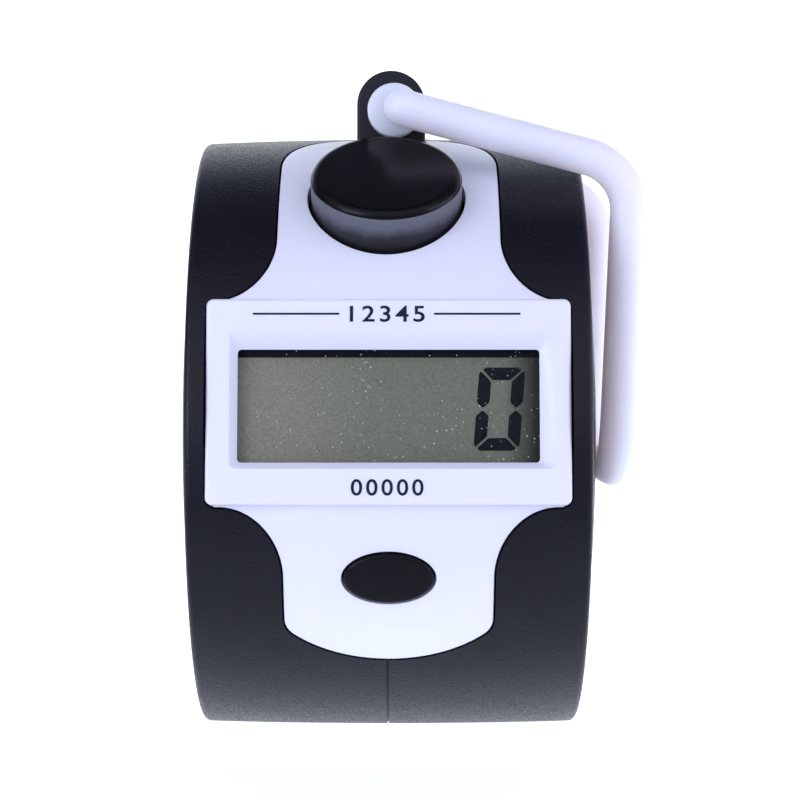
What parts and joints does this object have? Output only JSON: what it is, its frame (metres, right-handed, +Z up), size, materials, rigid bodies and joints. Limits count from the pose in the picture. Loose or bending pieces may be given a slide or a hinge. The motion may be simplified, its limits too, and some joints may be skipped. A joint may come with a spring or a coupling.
{
  "type": "hand tally counter",
  "caption": "Drum-shaped digital hand tally counter with a display, a thumb push button, a reset button and a hinged finger ring.",
  "frame": {"origin": "middle of the flat foot on the drum's underside", "axes": "+X to the right side, where the finger ring is stowed; -Y to the front with the display; +Z up"},
  "size_m": [0.0373, 0.0504, 0.0539],
  "materials": {
    "black_case": "fine-textured black plastic",
    "inner_plastic": "plain dark plastic",
    "gloss_button": "glossy black plastic",
    "white_plastic": "satin white plastic",
    "clear_window": "clear plastic",
    "lcd": "grey-green display glass",
    "film": "diffuse silver film",
    "elastomer": "silicone with carbon layers",
    "rubber": "silicone rubber",
    "carbon": "conductive carbon",
    "board": "green fibreglass board",
    "epoxy": "black epoxy",
    "steel": "nickel-plated steel",
    "ceramic": "ceramic",
    "red_wire": "red insulation",
    "black_wire": "black insulation"
  },
  "bodies": {
    "case": {"left_shell": "black_case", "right_shell": "black_case", "left_side_cover": "black_case", "right_side_cover": "black_case", "ring_lug": "black_case", "battery_door": "black_case", "face_plate": "white_plastic", "display_lens": "clear_window", "lcd_panel": "lcd", "lcd_reflector": "film", "lcd_frame": "inner_plastic", "zebra_strip": "elastomer", "count_spring": "steel", "count_dome": "rubber", "reset_dome": "rubber", "main_board": "board", "switch_board": "board", "chip_blob": "epoxy", "crystal_can": "steel", "capacitor_1": "ceramic", "capacitor_2": "ceramic", "chassis": "inner_plastic", "battery_holder": "inner_plastic", "battery_cell": "steel", "battery_contact_positive": "steel", "battery_contact_negative": "steel", "battery_door_screw": "steel", "case_screw_1": "steel", "case_screw_2": "steel", "case_screw_3": "steel", "board_screw_1": "steel", "board_screw_2": "steel", "switch_screw_1": "steel", "switch_screw_2": "steel", "battery_wire_red": "red_wire", "battery_wire_black": "black_wire"},
    "count_button": {"count_button": "gloss_button", "count_pill": "carbon"},
    "reset_button": {"reset_button": "gloss_button", "reset_pill": "carbon"},
    "finger_ring": {"finger_ring": "white_plastic"}
  },
  "joints": [
    {"name": "count_press", "type": "slide", "parent": "case", "child": "count_button", "axis": [0, 0.606, -0.7955], "range_m": [0, 0.0015], "stiffness_N_per_m": 600, "springref_m": -0.002, "deforming": ["count_spring", "count_dome"]},
    {"name": "reset_press", "type": "slide", "parent": "case", "child": "reset_button", "axis": [0, 0.8996, 0.4368], "range_m": [0, 0.0008], "stiffness_N_per_m": 800, "springref_m": -0.001, "deforming": ["reset_dome"]},
    {"name": "ring_swing", "type": "hinge", "parent": "case", "child": "finger_ring", "pos_m": [0.0004, 0, 0.05045], "axis": [0, -1, 0], "range_deg": [0, 210]}
  ]
}
